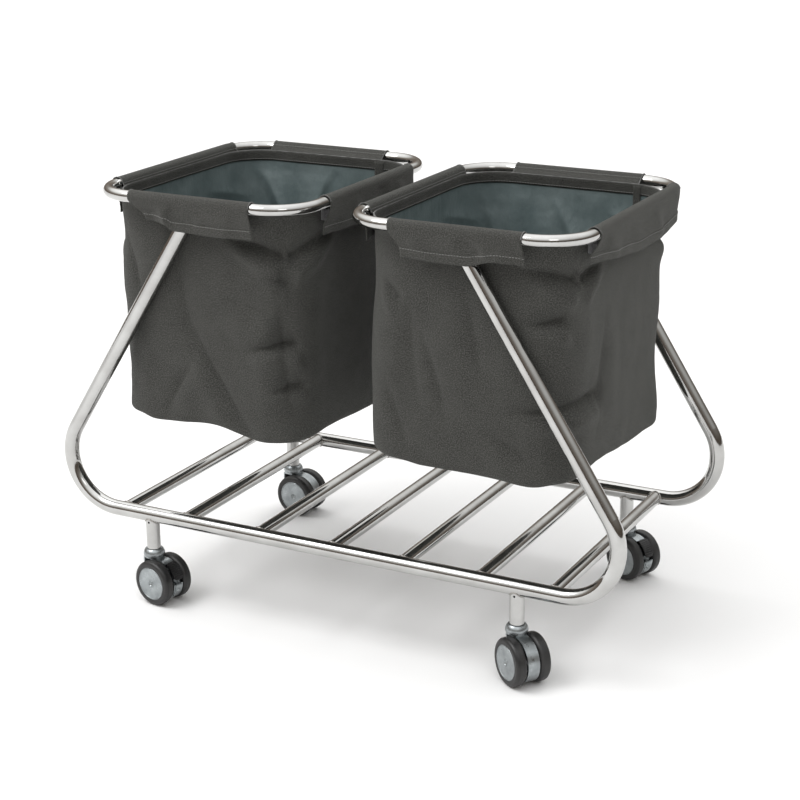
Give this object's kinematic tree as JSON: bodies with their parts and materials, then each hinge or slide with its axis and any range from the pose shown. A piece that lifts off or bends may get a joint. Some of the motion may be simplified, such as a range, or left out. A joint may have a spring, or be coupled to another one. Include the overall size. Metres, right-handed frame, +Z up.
{
  "type": "laundry cart",
  "caption": "Double laundry cart: two fabric bags hung from rounded hoops in a bent chrome tube frame, with a floor of rungs and twin-wheel swivel casters.",
  "frame": {"origin": "on the floor under the middle of the frame, half way between the two rails and the two bags", "axes": "+X along the bottom rails towards the right bag, +Y from the front rail to the back rail, +Z up"},
  "size_m": [0.9614, 0.5146, 0.668],
  "materials": {
    "chrome_tube": "bright chrome plate",
    "zinc_plate": "zinc plated, satin",
    "tyre_rubber": "smooth soft rubber",
    "pedal_plastic": "matte black, ribbed",
    "bag_canvas": "dark grey woven canvas with a grey-green coated lining",
    "hook_tape": "grey hook-and-loop tape"
  },
  "bodies": {
    "cart_frame": {"front_side_frame": "chrome_tube", "back_side_frame": "chrome_tube", "rung_1": "chrome_tube", "rung_2": "chrome_tube", "rung_3": "chrome_tube", "rung_4": "chrome_tube", "rung_5": "chrome_tube", "rung_6": "chrome_tube", "rung_7": "chrome_tube", "left_hoop": "chrome_tube", "right_hoop": "chrome_tube", "hoop_screws": "chrome_tube", "caster_stems": "chrome_tube", "swivel_pins": "zinc_plate", "left_bag_shell": "bag_canvas", "left_bag_front_sleeve": "bag_canvas", "left_bag_back_sleeve": "bag_canvas", "left_bag_left_sleeve": "bag_canvas", "left_bag_right_sleeve": "bag_canvas", "left_bag_tapes": "hook_tape", "right_bag_shell": "bag_canvas", "right_bag_front_sleeve": "bag_canvas", "right_bag_back_sleeve": "bag_canvas", "right_bag_left_sleeve": "bag_canvas", "right_bag_right_sleeve": "bag_canvas", "right_bag_tapes": "hook_tape"},
    "front_left_swivel": {"front_left_collar": "zinc_plate", "front_left_hood": "zinc_plate", "front_left_axle": "zinc_plate", "front_left_brake_stop": "zinc_plate"},
    "front_left_outer_wheel": {"front_left_outer_tyre": "tyre_rubber", "front_left_outer_hub": "zinc_plate"},
    "front_left_inner_wheel": {"front_left_inner_tyre": "tyre_rubber", "front_left_inner_hub": "zinc_plate"},
    "front_left_pedal": {"front_left_brake_pedal": "pedal_plastic"},
    "front_right_swivel": {"front_right_collar": "zinc_plate", "front_right_hood": "zinc_plate", "front_right_axle": "zinc_plate"},
    "front_right_outer_wheel": {"front_right_outer_tyre": "tyre_rubber", "front_right_outer_hub": "zinc_plate"},
    "front_right_inner_wheel": {"front_right_inner_tyre": "tyre_rubber", "front_right_inner_hub": "zinc_plate"},
    "back_left_swivel": {"back_left_collar": "zinc_plate", "back_left_hood": "zinc_plate", "back_left_axle": "zinc_plate"},
    "back_left_outer_wheel": {"back_left_outer_tyre": "tyre_rubber", "back_left_outer_hub": "zinc_plate"},
    "back_left_inner_wheel": {"back_left_inner_tyre": "tyre_rubber", "back_left_inner_hub": "zinc_plate"},
    "back_right_swivel": {"back_right_collar": "zinc_plate", "back_right_hood": "zinc_plate", "back_right_axle": "zinc_plate", "back_right_brake_stop": "zinc_plate"},
    "back_right_outer_wheel": {"back_right_outer_tyre": "tyre_rubber", "back_right_outer_hub": "zinc_plate"},
    "back_right_inner_wheel": {"back_right_inner_tyre": "tyre_rubber", "back_right_inner_hub": "zinc_plate"},
    "back_right_pedal": {"back_right_brake_pedal": "pedal_plastic"}
  },
  "joints": [
    {"name": "front_left_swivel_turn", "type": "hinge", "parent": "cart_frame", "child": "front_left_swivel", "pos_m": [-0.3177, -0.215, 0.08], "axis": [0, 0, 1], "continuous": true},
    {"name": "front_left_outer_wheel_roll", "type": "hinge", "parent": "front_left_swivel", "child": "front_left_outer_wheel", "pos_m": [-0.30382, -0.23792, 0.03675], "axis": [0.1908, 0.9816, 0], "continuous": true},
    {"name": "front_left_inner_wheel_roll", "type": "hinge", "parent": "front_left_swivel", "child": "front_left_inner_wheel", "pos_m": [-0.29624, -0.19895, 0.03675], "axis": [0.1908, 0.9816, 0], "continuous": true},
    {"name": "front_left_pedal_press", "type": "hinge", "parent": "front_left_swivel", "child": "front_left_pedal", "pos_m": [-0.29286, -0.21983, 0.06222], "axis": [0.1908, 0.9816, 0], "range_deg": [0, 8]},
    {"name": "front_right_swivel_turn", "type": "hinge", "parent": "cart_frame", "child": "front_right_swivel", "pos_m": [0.3163, -0.215, 0.08], "axis": [0, 0, 1], "continuous": true},
    {"name": "front_right_outer_wheel_roll", "type": "hinge", "parent": "front_right_swivel", "child": "front_right_outer_wheel", "pos_m": [0.3192, -0.24164, 0.03675], "axis": [0.5878, 0.809, 0], "continuous": true},
    {"name": "front_right_inner_wheel_roll", "type": "hinge", "parent": "front_right_swivel", "child": "front_right_inner_wheel", "pos_m": [0.34253, -0.20952, 0.03675], "axis": [0.5878, 0.809, 0], "continuous": true},
    {"name": "back_left_swivel_turn", "type": "hinge", "parent": "cart_frame", "child": "back_left_swivel", "pos_m": [-0.3138, 0.215, 0.08], "axis": [0, 0, 1], "continuous": true},
    {"name": "back_left_outer_wheel_roll", "type": "hinge", "parent": "back_left_swivel", "child": "back_left_outer_wheel", "pos_m": [-0.29446, 0.23355, 0.03675], "axis": [0.0698, 0.9976, 0], "continuous": true},
    {"name": "back_left_inner_wheel_roll", "type": "hinge", "parent": "back_left_swivel", "child": "back_left_inner_wheel", "pos_m": [-0.29723, 0.19394, 0.03675], "axis": [0.0698, 0.9976, 0], "continuous": true},
    {"name": "back_right_swivel_turn", "type": "hinge", "parent": "cart_frame", "child": "back_right_swivel", "pos_m": [0.3202, 0.215, 0.08], "axis": [0, 0, 1], "continuous": true},
    {"name": "back_right_outer_wheel_roll", "type": "hinge", "parent": "back_right_swivel", "child": "back_right_outer_wheel", "pos_m": [0.34432, 0.22666, 0.03675], "axis": [0.3746, 0.9272, 0], "continuous": true},
    {"name": "back_right_inner_wheel_roll", "type": "hinge", "parent": "back_right_swivel", "child": "back_right_inner_wheel", "pos_m": [0.32945, 0.18985, 0.03675], "axis": [0.3746, 0.9272, 0], "continuous": true},
    {"name": "back_right_pedal_press", "type": "hinge", "parent": "back_right_swivel", "child": "back_right_pedal", "pos_m": [0.34366, 0.20552, 0.06222], "axis": [0.3746, 0.9272, 0], "range_deg": [0, 8]}
  ]
}
